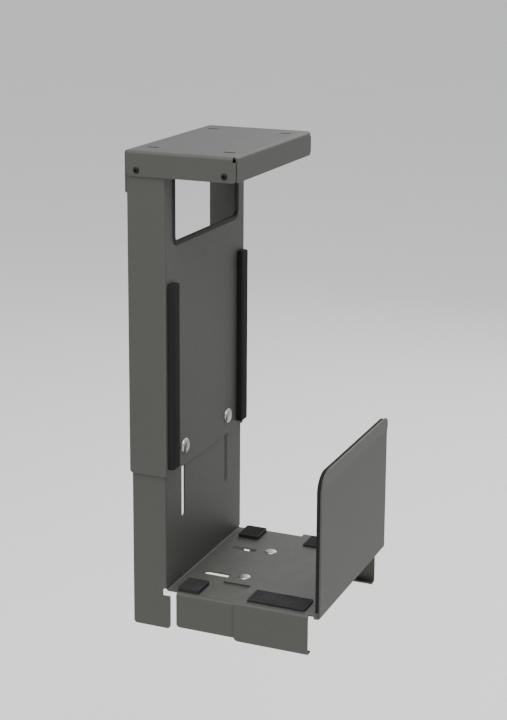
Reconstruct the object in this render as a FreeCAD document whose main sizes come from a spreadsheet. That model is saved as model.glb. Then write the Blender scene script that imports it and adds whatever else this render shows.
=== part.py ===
import FreeCAD, Part
import math
import os
import Sketcher

# Holder that hangs a desktop computer under a desk top, in millimetres.
#
# A folded desk bracket is screwed up under the desk. A hanging frame is bolted into it: two channel
# legs joined by a web, with an arm along the top. A carrier telescopes inside the frame and turns
# under the computer, and a side bracket telescopes over the carrier's base and closes the far side.
# Star knobs clamp both slides.
#
# Origin: centre of the desk bracket's top face, which bears on the desk.
# +X to the side plate, +Y to the back, +Z up. The computer stands between the web and the side plate.

doc = FreeCAD.newDocument("cpu_holder")
sheet = doc.addObject("Spreadsheet::Sheet", "dims")


class Size:
    """A length or a place: its number, and the sheet expression that gives it."""

    def __init__(self, number, text):
        self.number = number
        self.text = text

    def __add__(self, other):
        other = as_size(other)
        return Size(self.number + other.number, f"({self.text} + {other.text})")

    def __sub__(self, other):
        other = as_size(other)
        return Size(self.number - other.number, f"({self.text} - {other.text})")

    def __mul__(self, other):
        other = as_size(other)
        return Size(self.number * other.number, f"({self.text} * {other.text})")

    def __truediv__(self, other):
        other = as_size(other)
        return Size(self.number / other.number, f"({self.text} / {other.text})")

    def __radd__(self, other):
        return as_size(other) + self

    def __rsub__(self, other):
        return as_size(other) - self

    def __rmul__(self, other):
        return as_size(other) * self

    def __neg__(self):
        return Size(-self.number, f"(0 - {self.text})")


def as_size(value):
    """Take a size as it is, and make a plain number one."""
    if isinstance(value, Size):
        return value
    return Size(float(value), f"({float(value):.10g})")


def driving(row, name, number):
    """Write one driving dimension into a row of the sheet and return it as a size."""
    sheet.set(f"A{row}", name)
    sheet.set(f"B{row}", f"{number}")
    sheet.setAlias(f"B{row}", name)
    return Size(number, f"dims.{name}")


# ---------------------------------------------------------------------------------------------
# Driving dimensions
# ---------------------------------------------------------------------------------------------

# Sheet metal
sheet_thick = 2.0
bend_inside = 1.5             # inside radius of every fold
corner_round = 4.0            # rounded free corners of flanges
slide_gap = 0.25              # play between two sheets that slide

# Computer that the holder is set for
case_wide = 168.0
case_high = 448.0
case_above = 44.0             # desk underside to the top of the computer

# Desk bracket
bracket_wide = 131.0
bracket_deep = 222.0
flange_drop = 27.5
left_drop = 47.5
corner_relief = 4.0
corner_relief_high = 6.0      # below this the flange closes up to the right corner
corner_gap = 0.7              # flange end inside the bracket's right side
desk_slot_wide = 5.5
desk_slot_long = 14.0
desk_slot_across = 90.0
desk_slot_apart = 160.0

# Bracket screws, which join the frame to the desk bracket
screw_dia = 4.0
screw_long = 9.0
screw_head_dia = 7.0
screw_head_high = 2.0
screw_key = 2.5
screw_key_deep = 1.4
screw_drop = 21.0
screw_left_in = 15.5          # from the bracket's left side to the first screw
screw_right_in = 13.2
screw_hole_gap = 0.15
nut_flats = 7.0
nut_high = 3.2

# Hanging frame
leg_wide = 44.5
leg_inset = 1.5               # leg edge to the bracket's left flange
head_room = 3.5               # room for desk screw heads above the arm
frame_long = 362.0            # desk to the foot of the frame
arm_end_in = 5.5              # end of the arm inside the bracket
arm_short = 1.0               # arm flange edge above the bracket's edge
fold_relief = 5.0             # notch beside a fold that ends in a flange
window_strip = 23.5           # web left beside the window
window_top = 14.0
window_high = 88.0
window_round = 8.0
trim_cover = 4.0
trim_proud = 1.5

# Carrier
carrier_inset = 2.0           # carrier edge inside the frame's edge
carrier_top = 190.0           # desk to the top of the carrier
carrier_toe = 5.0             # foot flange past the web, under the base
foot_drop = 50.0              # computer's underside to the foot of the leg flange
toe_gap = 7.5                 # gap between foot flange and base flange
base_long = 132.0             # web to the end of the base

# Side bracket
side_drop = 50.0              # computer's underside to the bracket's lower edge
side_flange_left = 73.0
side_flange_end = 8.0         # right end of the flanges, left of the computer's right side
rear_flange_more = 4.0        # the rear flange reaches further right
plate_foot = 6.0              # deck left of the side plate, past the flanges
side_chamfer = 4.0
side_lip = 10.0
lip_play = 0.3
tongue_left = 39.5
tongue_wide = 120.0
side_plate_deep = 220.0
side_plate_high = 141.0
side_top_high = 21.0
side_top_flare = 2.4
side_top_round = 16.0

# Pads
side_pad_thick = 5.0
side_pad_margin = 1.0
frame_pad_thick = 7.5
frame_pad_wide = 18.0
frame_pad_edge = 5.0
frame_pad_high = 210.0
frame_pad_foot = 7.0
web_play = 1.0                # frame pad to the computer's side
base_pad_thick = 3.0
base_pad_wide = 30.0
base_pad_edge = 8.0
left_pad_long = 26.0
right_pad_long = 68.0
right_pad_start = 12.0

# Clamps
stud_dia = 8.0
slot_play = 0.25              # each side of a stud in its slot
clamp_gap = 0.1               # a slackened clamp's gap on each side of its washer
washer_dia = 30.0
washer_thick = 2.0
washer_play = 0.1
bolt_head_dia = 18.0
bolt_head_high = 4.0
neck_play = 0.15
stud_head_dia = 14.0
stud_head_high = 1.5
knob_dia = 40.0
knob_high = 22.0
knob_rim = 11.0               # height of the lobes
knob_hub_dia = 20.0
knob_edge = 1.5
knob_scallop = 7.0            # radius of the finger hollows
knob_scallop_out = 22.5
insert_dia = 12.0
insert_long = 14.0
insert_press = 0.02
thread_play = 0.05
stud_end_gap = 1.0

# Adjustment
height_stud_up = 22.0         # height studs above the foot of the frame
height_stud_apart = 120.0
lower_travel = 120.0
raise_travel = 80.0
width_stud_in = 17.0          # width studs from the tongue's end
width_stud_apart = 80.0
narrow_travel = 45.0
widen_travel = 40.0

# Each dimension above goes into the sheet, and its name stands for its cell from here on.
numbers = {name: value for name, value in globals().items() if isinstance(value, float)}
for row, (name, number) in enumerate(numbers.items(), start=1):
    globals()[name] = driving(row, name, number)

# ---------------------------------------------------------------------------------------------
# Places that several pieces share
# ---------------------------------------------------------------------------------------------

half_wide = bracket_wide / 2
half_deep = bracket_deep / 2

leg_left = -half_wide + sheet_thick + leg_inset
web_right = leg_left + leg_wide
web_left = web_right - sheet_thick
frame_face = half_deep - sheet_thick             # outer faces of the frame, front and back
frame_inner = frame_face - sheet_thick
frame_foot = -frame_long
arm_top = -sheet_thick - head_room
arm_under = arm_top - sheet_thick
arm_end = half_wide - arm_end_in

carrier_face = frame_inner - slide_gap
carrier_inner = carrier_face - sheet_thick
carrier_web_right = web_left - slide_gap
carrier_web_left = carrier_web_right - sheet_thick
carrier_left = leg_left + carrier_inset

case_left = web_right + frame_pad_thick + web_play
case_right = case_left + case_wide
case_under = -case_above - case_high

side_top = case_under - base_pad_thick           # upper face of the side bracket's plate
side_under = side_top - sheet_thick
side_inner = case_right + side_pad_thick
side_outer = side_inner + sheet_thick
side_face = carrier_face + slide_gap + sheet_thick
side_face_inner = carrier_face + slide_gap
side_left = case_left + side_flange_left
side_right = case_right - side_flange_end
side_edge = case_under - side_drop
side_fold = case_under + side_plate_high
half_side = side_plate_deep / 2

base_top = side_under - slide_gap
base_under = base_top - sheet_thick
base_edge = side_edge + sheet_thick + bend_inside + lip_play
base_end = carrier_web_right + base_long
toe_right = carrier_web_right + carrier_toe
base_flange_left = toe_right + toe_gap

height_stud_z = frame_foot + height_stud_up
height_stud_y = height_stud_apart / 2
width_stud_x = case_left + tongue_left + width_stud_in
width_stud_y = width_stud_apart / 2
slot_radius = stud_dia / 2 + slot_play

FRONT_AND_BACK = (("front", -1), ("rear", 1))

# ---------------------------------------------------------------------------------------------
# Sketching and solid modelling helpers
# ---------------------------------------------------------------------------------------------

# For each direction: the origin plane square to it, and whether the plane faces that way.
PLANES = {"X": ("YZ_Plane", 1), "Y": ("XZ_Plane", -1), "Z": ("XY_Plane", 1)}
NEAR = 0.01
THROUGH = 1.0                 # how far a cut starts and ends outside the sheet it goes through


def bind(thing, prop, size):
    """Tie a property to the sheet."""
    thing.setExpression(prop, as_size(size).text)


def tie_point(sketch, edge, end, place):
    """Hold one point of a sketch at a place given by sizes."""
    for kind, size in zip(("DistanceX", "DistanceY"), place):
        size = as_size(size)
        number = sketch.addConstraint(Sketcher.Constraint(kind, -1, 1, edge, end, size.number))
        bind(sketch, f"Constraints[{number}]", size)


def vector(place):
    """Turn a pair of sizes into a point of a sketch."""
    return FreeCAD.Vector(as_size(place[0]).number, as_size(place[1]).number, 0)


def polygon(*corners):
    """A closed outline with straight sides."""
    def draw(sketch):
        first = sketch.GeometryCount
        count = len(corners)
        for index in range(count):
            ends = vector(corners[index]), vector(corners[(index + 1) % count])
            sketch.addGeometry(Part.LineSegment(*ends), False)
        for index in range(count):
            here = first + index
            after = first + (index + 1) % count
            sketch.addConstraint(Sketcher.Constraint("Coincident", here, 2, after, 1))
            tie_point(sketch, here, 1, corners[index])
    return draw


def rectangle(left, right, low, high):
    """An upright rectangle."""
    return polygon((left, low), (right, low), (right, high), (left, high))


def circle(centre, radius):
    """A round outline."""
    def draw(sketch):
        number = sketch.GeometryCount
        radius_now = as_size(radius).number
        sketch.addGeometry(Part.Circle(vector(centre), FreeCAD.Vector(0, 0, 1), radius_now), False)
        tie_point(sketch, number, 3, centre)
        held = sketch.addConstraint(Sketcher.Constraint("Radius", number, radius_now))
        bind(sketch, f"Constraints[{held}]", radius)
    return draw


def slot(start, end, radius):
    """A round-ended slot between two centres on a line along the sketch's first or second axis."""
    def draw(sketch):
        first = sketch.GeometryCount
        radius_now = as_size(radius).number
        from_point, to_point = vector(start), vector(end)
        along = (to_point - from_point).normalize()
        turn = math.atan2(along.y, along.x)
        side = FreeCAD.Vector(-along.y, along.x, 0) * radius_now
        up = FreeCAD.Vector(0, 0, 1)
        quarter = math.pi / 2
        near_circle = Part.Circle(from_point, up, radius_now)
        far_circle = Part.Circle(to_point, up, radius_now)
        sketch.addGeometry(Part.ArcOfCircle(near_circle, turn + quarter, turn + 3 * quarter), False)
        sketch.addGeometry(Part.ArcOfCircle(far_circle, turn - quarter, turn + quarter), False)
        sketch.addGeometry(Part.LineSegment(from_point - side, to_point - side), False)
        sketch.addGeometry(Part.LineSegment(to_point + side, from_point + side), False)
        near_arc, far_arc, right_side, left_side = range(first, first + 4)
        joins = ((near_arc, 2, right_side, 1), (right_side, 2, far_arc, 1),
                 (far_arc, 2, left_side, 1), (left_side, 2, near_arc, 1))
        for join in joins:
            sketch.addConstraint(Sketcher.Constraint("Tangent", *join))
        tie_point(sketch, near_arc, 3, start)
        tie_point(sketch, far_arc, 3, end)
        held = sketch.addConstraint(Sketcher.Constraint("Radius", near_arc, radius_now))
        bind(sketch, f"Constraints[{held}]", radius)
    return draw


def corner_waste(corner, radius, side):
    """The waste outside a rounded upper corner; side is -1 for a left corner and 1 for a right one."""
    def draw(sketch):
        first = sketch.GeometryCount
        radius_now = as_size(radius).number
        across, high = corner
        inner_top = (across - radius * side, high)
        inner_side = (across, high - radius)
        outer_top = (across - radius * side, high + THROUGH)
        outer_corner = (across + THROUGH * side, high + THROUGH)
        outer_side = (across + THROUGH * side, high - radius)
        centre = (across - radius * side, high - radius)
        round_path = Part.Circle(vector(centre), FreeCAD.Vector(0, 0, 1), radius_now)
        start = 0 if side > 0 else math.pi / 2
        sketch.addGeometry(Part.ArcOfCircle(round_path, start, start + math.pi / 2), False)
        arc_begin, arc_finish = (inner_side, inner_top) if side > 0 else (inner_top, inner_side)
        if side > 0:
            path = (inner_top, outer_top, outer_corner, outer_side, inner_side)
        else:
            path = (inner_side, outer_side, outer_corner, outer_top, inner_top)
        for here, after in zip(path, path[1:]):
            sketch.addGeometry(Part.LineSegment(vector(here), vector(after)), False)
        count = len(path)
        for index in range(count):
            join = (first + index, 2, first + (index + 1) % count, 1)
            sketch.addConstraint(Sketcher.Constraint("Coincident", *join))
        tie_point(sketch, first, 1, arc_begin)
        tie_point(sketch, first, 2, arc_finish)
        for index in range(1, count - 1):
            tie_point(sketch, first + index, 2, path[index])
        held = sketch.addConstraint(Sketcher.Constraint("Radius", first, radius_now))
        bind(sketch, f"Constraints[{held}]", radius)
    return draw


def new_body(name):
    """Start a piece."""
    body = doc.addObject("PartDesign::Body", name)
    body.Label = name
    return body


def sketch_across(body, name, axis, place, shapes):
    """Draw outlines on the plane that crosses an axis at a place."""
    role, facing = PLANES[axis]
    plane = next(item for item in body.Origin.OriginFeatures if item.Role == role)
    sketch = body.newObject("Sketcher::SketchObject", f"{body.Name}_{name}_sketch")
    sketch.AttachmentSupport = [(plane, "")]
    sketch.MapMode = "FlatFace"
    bind(sketch, "AttachmentOffset.Base.z", place * facing)
    for draw in shapes:
        draw(sketch)
    return sketch


def settle(body, feature):
    """Make a feature the end of its body, and stop if it failed."""
    body.Tip = feature
    doc.recompute()
    if {"Invalid", "Error"} & set(feature.State) or not feature.Shape.isValid():
        raise RuntimeError(f"{feature.Name} failed")
    return feature


def slab(body, name, axis, low, high, *shapes):
    """Add material with the given outline between two places along an axis."""
    low, high = as_size(low), as_size(high)
    start = low if PLANES[axis][1] > 0 else high
    pad = body.newObject("PartDesign::Pad", f"{body.Name}_{name}")
    pad.Profile = sketch_across(body, name, axis, start, shapes)
    bind(pad, "Length", high - low)
    return settle(body, pad)


def cut(body, name, axis, low, high, *shapes):
    """Remove the given outline between two places along an axis."""
    low, high = as_size(low), as_size(high)
    start = low if PLANES[axis][1] > 0 else high
    before = body.Shape.Volume
    pocket = body.newObject("PartDesign::Pocket", f"{body.Name}_{name}")
    pocket.Profile = sketch_across(body, name, axis, start, shapes)
    pocket.Reversed = True
    bind(pocket, "Length", high - low)
    settle(body, pocket)
    if not body.Shape.Volume < before:
        raise RuntimeError(f"{body.Name}_{name} removes nothing")
    return pocket


def edges_along(shape, axis, places):
    """Names of the straight edges along an axis, from their places on the other two axes."""
    letters = "XYZ"
    others = [index for index in range(3) if letters[index] != axis]
    names = []
    for number, edge in enumerate(shape.Edges, 1):
        if len(edge.Vertexes) < 2:
            continue
        reach = edge.Vertexes[1].Point - edge.Vertexes[0].Point
        straight = abs(reach.Length - edge.Length) < NEAR
        if not straight or abs(reach[letters.index(axis)]) < edge.Length - NEAR:
            continue
        middle = edge.CenterOfMass
        for place in places:
            wanted = [as_size(size).number for size in place]
            if all(abs(middle[index] - want) < NEAR for index, want in zip(others, wanted)):
                names.append(f"Edge{number}")
    return names


def round_edges(body, name, radius, axis, *places):
    """Round the edges that run along an axis at the given places on the other two axes."""
    base = body.Tip
    names = edges_along(base.Shape, axis, places)
    if len(names) < len(places):
        raise RuntimeError(f"{body.Name}_{name} finds {len(names)} edges for {len(places)} places")
    fillet = body.newObject("PartDesign::Fillet", f"{body.Name}_{name}")
    fillet.Base = (base, names)
    bind(fillet, "Radius", radius)
    return settle(body, fillet)


def turned(name, *profile):
    """A turned piece about its own Z axis, from the radius and height of each corner."""
    body = new_body(name)
    sketch = sketch_across(body, "profile", "Y", as_size(0), [polygon(*profile)])
    revolution = body.newObject("PartDesign::Revolution", f"{name}_turning")
    revolution.Profile = sketch
    revolution.ReferenceAxis = (sketch, ["V_Axis"])
    revolution.Angle = 360
    settle(body, revolution)
    return body


def stand(body, place, direction=(0, 0, 1)):
    """Put a piece at a place, with its own Z axis along a direction."""
    turn = FreeCAD.Rotation(FreeCAD.Vector(0, 0, 1), FreeCAD.Vector(*direction))
    body.Placement = FreeCAD.Placement(FreeCAD.Vector(), turn)
    for letter, size in zip("xyz", place):
        bind(body, f"Placement.Base.{letter}", size)
    return body


def block(name, left, right, front, back, low, high):
    """A plain block between six places."""
    box = doc.addObject("Part::Box", name)
    box.Label = name
    bind(box, "Length", right - left)
    bind(box, "Width", back - front)
    bind(box, "Height", high - low)
    for letter, size in zip("xyz", (left, front, low)):
        bind(box, f"Placement.Base.{letter}", size)
    return box


def group(name, members):
    """Several alike solids that share one node."""
    together = doc.addObject("Part::Compound", name)
    together.Links = members
    together.Label = name
    return together


def hexagon(flats):
    """A six-sided outline with two flats along the sketch's first axis."""
    corner = flats / math.sqrt(3)
    spokes = [math.radians(60 * index) for index in range(6)]
    return polygon(*[(corner * math.cos(turn), corner * math.sin(turn)) for turn in spokes])


def span(side, inner, outer):
    """The two places of a sheet that stands at the front (-1) or the back (1), lower one first."""
    return (-outer, -inner) if side < 0 else (inner, outer)


def shelf(start, notch_end, end, half_inner, half_outer):
    """Outline of a folded shelf with a relief notch at both sides of its fold."""
    return polygon((start, -half_inner), (notch_end, -half_inner), (notch_end, -half_outer),
                   (end, -half_outer), (end, half_outer), (notch_end, half_outer),
                   (notch_end, half_inner), (start, half_inner))


bend_outside = bend_inside + sheet_thick

# ---------------------------------------------------------------------------------------------
# Desk bracket: a shallow pan, open below, with a deeper flange on the left
# ---------------------------------------------------------------------------------------------


def make_desk_bracket():
    body = new_body("desk_bracket")
    fold_end = half_wide - corner_relief
    side_end = half_deep - corner_relief
    closed_end = half_wide - corner_gap
    slab(body, "top", "Z", -sheet_thick, 0,
         polygon((-half_wide, -side_end), (-fold_end, -side_end), (-fold_end, -half_deep),
                 (fold_end, -half_deep), (fold_end, -side_end), (half_wide, -side_end),
                 (half_wide, side_end), (fold_end, side_end), (fold_end, half_deep),
                 (-fold_end, half_deep), (-fold_end, side_end), (-half_wide, side_end)))
    for end, side in FRONT_AND_BACK:
        low, high = span(side, frame_face, half_deep)
        slab(body, f"{end}_flange", "Y", low, high,
             polygon((-fold_end, -flange_drop), (closed_end, -flange_drop),
                     (closed_end, -corner_relief_high), (fold_end, -corner_relief_high),
                     (fold_end, 0), (-fold_end, 0)))
    slab(body, "left_flange", "X", -half_wide, -half_wide + sheet_thick,
         rectangle(-side_end, side_end, -left_drop, 0))
    slab(body, "right_flange", "X", half_wide - sheet_thick, half_wide,
         rectangle(-side_end, side_end, -flange_drop, 0))

    round_edges(body, "folds_across", bend_outside, "X", (-half_deep, 0), (half_deep, 0))
    round_edges(body, "folds_along", bend_outside, "Y", (-half_wide, 0), (half_wide, 0))
    round_edges(body, "inner_folds_across", bend_inside, "X",
                (-frame_face, -sheet_thick), (frame_face, -sheet_thick))
    side_inside = half_wide - sheet_thick
    round_edges(body, "inner_folds_along", bend_inside, "Y",
                (-side_inside, -sheet_thick), (side_inside, -sheet_thick))
    round_edges(body, "flange_corners", corner_round, "Y",
                (-fold_end, -flange_drop), (closed_end, -flange_drop))
    round_edges(body, "left_corners", corner_round, "X",
                (-side_end, -left_drop), (side_end, -left_drop))
    round_edges(body, "right_corners", corner_round / 2, "X",
                (-side_end, -flange_drop), (side_end, -flange_drop))

    screw_places = (screw_left_x, screw_right_x)
    cut(body, "screw_holes", "Y", -half_deep - THROUGH, half_deep + THROUGH,
        *[circle((x, -screw_drop), screw_dia / 2 + screw_hole_gap) for x in screw_places])
    half_slot = (desk_slot_long - desk_slot_wide) / 2
    slots = []
    for across in (-1, 1):
        for along in (-1, 1):
            centre_x = desk_slot_across / 2 * across
            centre_y = desk_slot_apart / 2 * along
            slots.append(slot((centre_x - half_slot, centre_y), (centre_x + half_slot, centre_y),
                              desk_slot_wide / 2))
    cut(body, "desk_slots", "Z", -sheet_thick - THROUGH, THROUGH, *slots)
    return body


screw_left_x = -half_wide + screw_left_in
screw_right_x = half_wide - screw_right_in

# ---------------------------------------------------------------------------------------------
# Hanging frame: legs, web with a window, and the arm that lies inside the desk bracket
# ---------------------------------------------------------------------------------------------


def make_hanging_frame():
    body = new_body("hanging_frame")
    web_top = arm_top - fold_relief
    fold_half = frame_face - fold_relief
    arm_flange_left = web_right + fold_relief
    arm_edge = -flange_drop + arm_short
    slab(body, "web", "X", web_left, web_right,
         polygon((-frame_face, frame_foot), (frame_face, frame_foot), (frame_face, web_top),
                 (fold_half, web_top), (fold_half, arm_top), (-fold_half, arm_top),
                 (-fold_half, web_top), (-frame_face, web_top)))
    slab(body, "arm", "Z", arm_under, arm_top,
         shelf(web_left, arm_flange_left, arm_end, fold_half, frame_face))
    for end, side in FRONT_AND_BACK:
        low, high = span(side, frame_inner, frame_face)
        slab(body, f"{end}_leg", "Y", low, high, rectangle(leg_left, web_right, frame_foot, web_top))
        slab(body, f"{end}_arm_flange", "Y", low, high,
             rectangle(arm_flange_left, arm_end, arm_edge, arm_top))

    round_edges(body, "leg_folds", bend_outside, "Z",
                (web_right, -frame_face), (web_right, frame_face))
    round_edges(body, "inner_leg_folds", bend_inside, "Z",
                (web_left, -frame_inner), (web_left, frame_inner))
    round_edges(body, "arm_fold", bend_outside, "Y", (web_left, arm_top))
    round_edges(body, "inner_arm_fold", bend_inside, "Y", (web_right, arm_under))
    round_edges(body, "arm_edges", bend_outside, "X", (-frame_face, arm_top), (frame_face, arm_top))
    round_edges(body, "inner_arm_edges", bend_inside, "X",
                (-frame_inner, arm_under), (frame_inner, arm_under))
    round_edges(body, "free_corners", corner_round, "Y", (leg_left, frame_foot),
                (arm_flange_left, arm_edge), (arm_end, arm_edge))

    window_half = frame_face - window_strip
    window_foot = -window_top - window_high
    cut(body, "window", "X", web_left - THROUGH, web_right + THROUGH,
        rectangle(-window_half, window_half, window_foot, -window_top))
    round_edges(body, "window_corners", window_round, "X",
                (-window_half, window_foot), (window_half, window_foot),
                (-window_half, -window_top), (window_half, -window_top))

    screw_places = (screw_left_x, screw_right_x)
    cut(body, "screw_holes", "Y", -frame_face - THROUGH, frame_face + THROUGH,
        *[circle((x, -screw_drop), screw_dia / 2 + screw_hole_gap) for x in screw_places])
    half_neck = stud_dia / 2 + neck_play
    necks = []
    for side in (-1, 1):
        centre = height_stud_y * side
        necks.append(rectangle(centre - half_neck, centre + half_neck,
                               height_stud_z - half_neck, height_stud_z + half_neck))
    cut(body, "neck_holes", "X", web_left - THROUGH, web_right + THROUGH, *necks)
    return body


def make_window_trim(frame):
    """Soft edging pressed over the rim of the window: a ring with the sheet's own shape cut out."""
    window_half = frame_face - window_strip
    window_foot = -window_top - window_high
    ring = new_body("window_trim_ring")
    outer_half = window_half + trim_cover
    slab(ring, "outside", "X", web_left - trim_proud, web_right + trim_proud,
         rectangle(-outer_half, outer_half, window_foot - trim_cover, -window_top + trim_cover))
    round_edges(ring, "outer_corners", window_round + trim_cover, "X",
                (-outer_half, window_foot - trim_cover), (outer_half, window_foot - trim_cover),
                (-outer_half, -window_top + trim_cover), (outer_half, -window_top + trim_cover))
    inner_half = window_half - trim_proud
    inner_foot = window_foot + trim_proud
    inner_top = -window_top - trim_proud
    cut(ring, "inside", "X", web_left - trim_proud - THROUGH, web_right + trim_proud + THROUGH,
        rectangle(-inner_half, inner_half, inner_foot, inner_top))
    round_edges(ring, "inner_corners", window_round - trim_proud, "X",
                (-inner_half, inner_foot), (inner_half, inner_foot),
                (-inner_half, inner_top), (inner_half, inner_top))
    trim = doc.addObject("Part::Cut", "window_trim")
    trim.Base = ring
    trim.Tool = frame
    trim.Label = "window_trim"
    return trim


# ---------------------------------------------------------------------------------------------
# Carrier: slides inside the frame and folds under the computer
# ---------------------------------------------------------------------------------------------


def make_carrier():
    body = new_body("sliding_carrier")
    top = -carrier_top
    foot = case_under - foot_drop
    fold_half = carrier_face - fold_relief
    web_foot = base_top + sheet_thick
    notch_low = base_under - sheet_thick * 2
    notch_left = carrier_web_left - sheet_thick
    slab(body, "web", "X", carrier_web_left, carrier_web_right,
         polygon((-carrier_face, top), (-carrier_face, web_foot), (-fold_half, web_foot),
                 (-fold_half, base_under), (fold_half, base_under), (fold_half, web_foot),
                 (carrier_face, web_foot), (carrier_face, top)))
    slab(body, "base", "Z", base_under, base_top,
         shelf(carrier_web_left, base_flange_left, base_end, fold_half, carrier_face))
    for end, side in FRONT_AND_BACK:
        low, high = span(side, carrier_inner, carrier_face)
        slab(body, f"{end}_leg", "Y", low, high,
             polygon((carrier_left, foot), (toe_right, foot), (toe_right, notch_low),
                     (notch_left, notch_low), (notch_left, web_foot), (carrier_web_right, web_foot),
                     (carrier_web_right, top), (carrier_left, top)))
        slab(body, f"{end}_base_flange", "Y", low, high,
             rectangle(base_flange_left, base_end, base_edge, base_top))

    round_edges(body, "leg_folds", bend_outside, "Z",
                (carrier_web_right, -carrier_face), (carrier_web_right, carrier_face))
    round_edges(body, "inner_leg_folds", bend_inside, "Z",
                (carrier_web_left, -carrier_inner), (carrier_web_left, carrier_inner))
    round_edges(body, "base_fold", bend_outside, "Y", (carrier_web_left, base_under))
    round_edges(body, "inner_base_fold", bend_inside, "Y", (carrier_web_right, base_top))
    round_edges(body, "base_edges", bend_outside, "X",
                (-carrier_face, base_top), (carrier_face, base_top))
    round_edges(body, "inner_base_edges", bend_inside, "X",
                (-carrier_inner, base_under), (carrier_inner, base_under))
    round_edges(body, "free_corners", corner_round, "Y", (carrier_left, foot), (toe_right, foot),
                (carrier_left, top), (base_flange_left, base_edge), (base_end, base_edge))

    height_slots = []
    width_slots = []
    for side in (-1, 1):
        height_slots.append(slot((height_stud_y * side, height_stud_z - raise_travel),
                                 (height_stud_y * side, height_stud_z + lower_travel), slot_radius))
        width_slots.append(slot((width_stud_x - narrow_travel, width_stud_y * side),
                                (width_stud_x + widen_travel, width_stud_y * side), slot_radius))
    cut(body, "height_slots", "X", carrier_web_left - THROUGH, carrier_web_right + THROUGH,
        *height_slots)
    cut(body, "width_slots", "Z", base_under - THROUGH, base_top + THROUGH, *width_slots)
    return body


# ---------------------------------------------------------------------------------------------
# Side bracket: a lipped channel over the carrier's base, folded up into the side plate
# ---------------------------------------------------------------------------------------------


def make_side_bracket():
    body = new_body("side_bracket")
    fold_start = side_inner - plate_foot
    rear_right = side_right + rear_flange_more
    plate_top = side_fold + side_top_high
    slab(body, "side_plate", "Y", -half_side, half_side,
         polygon((fold_start, side_under), (side_outer, side_under), (side_outer, side_fold),
                 (side_outer + side_top_flare, plate_top), (side_inner + side_top_flare, plate_top),
                 (side_inner, side_fold), (side_inner, side_top), (fold_start, side_top)))
    tongue_end = case_left + tongue_left
    half_tongue = tongue_wide / 2
    slab(body, "deck", "Z", side_under, side_top,
         polygon((tongue_end, -half_tongue), (side_left, -half_tongue), (side_left, -side_face),
                 (side_right, -side_face), (side_right, -carrier_inner),
                 (fold_start + THROUGH, -carrier_inner), (fold_start + THROUGH, carrier_inner),
                 (rear_right, carrier_inner), (rear_right, side_face), (side_left, side_face),
                 (side_left, half_tongue), (tongue_end, half_tongue)))
    for end, side in FRONT_AND_BACK:
        right_end = rear_right if side > 0 else side_right
        low, high = span(side, side_face_inner, side_face)
        slab(body, f"{end}_flange", "Y", low, high,
             rectangle(side_left, right_end, side_edge, side_top))
        low, high = span(side, side_face - side_lip, side_face)
        slab(body, f"{end}_lip", "Z", side_edge, side_edge + sheet_thick,
             rectangle(side_left, right_end, low, high))

    round_edges(body, "side_fold", bend_outside, "Y", (side_outer, side_under))
    round_edges(body, "inner_side_fold", bend_inside, "Y", (side_inner, side_top))
    round_edges(body, "deck_edges", bend_outside, "X", (-side_face, side_top), (side_face, side_top))
    round_edges(body, "inner_deck_edges", bend_inside, "X",
                (-side_face_inner, side_under), (side_face_inner, side_under))
    round_edges(body, "lip_edges", bend_outside, "X",
                (-side_face, side_edge), (side_face, side_edge))
    lip_top = side_edge + sheet_thick
    round_edges(body, "inner_lip_edges", bend_inside, "X",
                (-side_face_inner, lip_top), (side_face_inner, lip_top))
    cut(body, "lip_ends", "Y", -side_face - THROUGH, side_face + THROUGH,
        polygon((side_left - THROUGH, side_edge - THROUGH), (side_left + side_chamfer, side_edge - THROUGH),
                (side_left + side_chamfer, side_edge), (side_left, side_edge + side_chamfer),
                (side_left - THROUGH, side_edge + side_chamfer)))
    cut(body, "plate_corners", "X", side_inner - THROUGH, side_outer + side_top_flare + THROUGH,
        corner_waste((-half_side, plate_top), side_top_round, -1),
        corner_waste((half_side, plate_top), side_top_round, 1))
    cut(body, "stud_holes", "Z", side_under - THROUGH, side_top + THROUGH,
        *[circle((width_stud_x, width_stud_y * side), stud_dia / 2 + insert_press)
          for side in (-1, 1)])
    return body


# ---------------------------------------------------------------------------------------------
# Pads
# ---------------------------------------------------------------------------------------------


def make_side_pad():
    """Foam sheet glued to the side plate, which follows its flared top."""
    body = new_body("side_pad")
    half = half_side - side_pad_margin
    low = case_under + side_pad_margin
    high = side_fold + side_top_high - side_pad_margin
    flare = side_top_flare * (side_top_high - side_pad_margin) / side_top_high
    slab(body, "sheet", "Y", -half, half,
         polygon((case_right, low), (side_inner, low), (side_inner, side_fold),
                 (side_inner + flare, high), (case_right + flare, high), (case_right, side_fold)))
    corner = side_top_round - side_pad_margin
    cut(body, "corners", "X", case_right - THROUGH, side_inner + flare + THROUGH,
        corner_waste((-half, high), corner, -1), corner_waste((half, high), corner, 1))
    return body


def make_frame_pads():
    low = frame_foot + frame_pad_foot
    outer = frame_face - frame_pad_edge
    pads = []
    for end, side in FRONT_AND_BACK:
        front, back = span(side, outer - frame_pad_wide, outer)
        pads.append(block(f"{end}_frame_pad", web_right, web_right + frame_pad_thick, front, back,
                          low, low + frame_pad_high))
    return pads


def make_base_pads():
    outer = side_face - base_pad_edge
    left_pads = []
    right_pads = []
    left_start = case_left + web_play
    right_start = side_left + right_pad_start
    for end, side in FRONT_AND_BACK:
        front, back = span(side, outer - base_pad_wide, outer)
        left_pads.append(block(f"{end}_left_pad", left_start, left_start + left_pad_long,
                               front, back, base_top, case_under))
        right_pads.append(block(f"{end}_right_pad", right_start, right_start + right_pad_long,
                                front, back, side_top, case_under))
    return group("carrier_pads", left_pads), group("side_bracket_pads", right_pads)


# ---------------------------------------------------------------------------------------------
# Screws and nuts that hold the frame in the desk bracket
# ---------------------------------------------------------------------------------------------


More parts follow.
